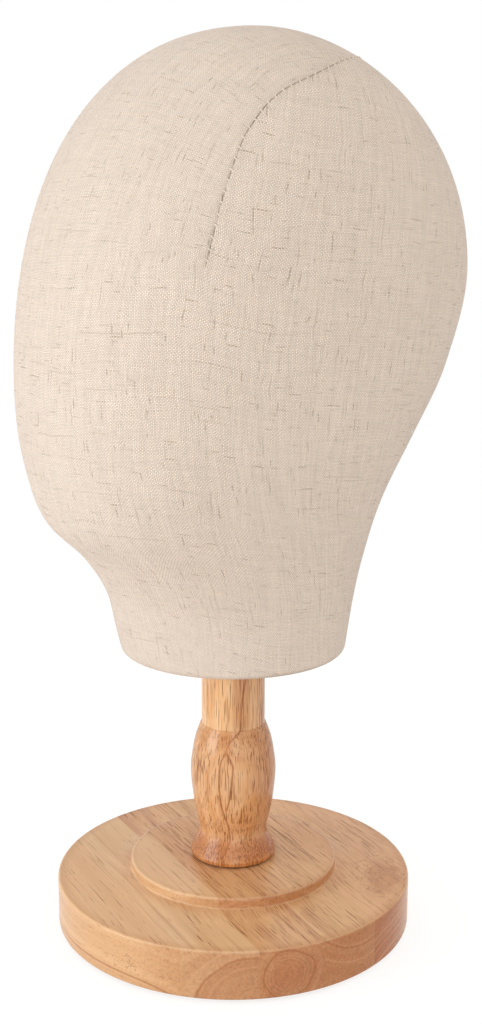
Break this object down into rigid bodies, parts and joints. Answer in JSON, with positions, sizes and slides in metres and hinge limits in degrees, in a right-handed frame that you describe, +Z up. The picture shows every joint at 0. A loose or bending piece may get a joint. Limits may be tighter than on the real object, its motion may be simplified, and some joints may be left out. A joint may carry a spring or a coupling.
{
  "type": "mannequin head",
  "caption": "Featureless head form covered in natural linen, on a turned wooden post and a round stepped wooden base; the head turns and lifts off the post.",
  "frame": {"origin": "on the surface that the stand rests on, under the post's axis, at the middle of the felt disc", "axes": "+Z up along the post; the face looks along -Y; +X is the head's left side"},
  "size_m": [0.16, 0.1999, 0.3907],
  "materials": {
    "felt": "matte",
    "rubberwood_1": "satin",
    "rubberwood_2": "satin",
    "rubberwood_3": "satin",
    "rubberwood_4": "satin",
    "rubberwood_5": "satin",
    "rubberwood_6": "satin",
    "zinc_steel": "satin",
    "brass": "satin",
    "post_rubberwood": "satin",
    "linen": "matte",
    "core_foam": "matte",
    "plywood": "matte",
    "card_tube": "matte",
    "staple_steel": "satin"
  },
  "bodies": {
    "base": {"felt_disc": "felt", "base_strip_1": "rubberwood_1", "base_strip_2": "rubberwood_2", "base_strip_3": "rubberwood_3", "base_strip_4": "rubberwood_4", "base_strip_5": "rubberwood_5", "base_strip_6": "rubberwood_6", "base_washer": "zinc_steel"},
    "post": {"turned_post": "post_rubberwood", "post_insert": "brass", "base_bolt": "zinc_steel"},
    "head": {"linen_cover": "linen", "head_core": "core_foam", "neck_board": "plywood", "socket_tube": "card_tube", "staple_01": "staple_steel", "staple_02": "staple_steel", "staple_03": "staple_steel", "staple_04": "staple_steel", "staple_05": "staple_steel", "staple_06": "staple_steel", "staple_07": "staple_steel", "staple_08": "staple_steel", "staple_09": "staple_steel", "staple_10": "staple_steel", "staple_11": "staple_steel", "staple_12": "staple_steel"}
  },
  "joints": [
    {"name": "head_swivel", "type": "hinge", "parent": "base", "child": "post", "pos_m": [0, 0, 0], "axis": [0, 0, 1], "continuous": true},
    {"name": "head_lift", "type": "slide", "parent": "post", "child": "head", "axis": [0, 0, 1], "range_m": [0, 0.1]}
  ]
}
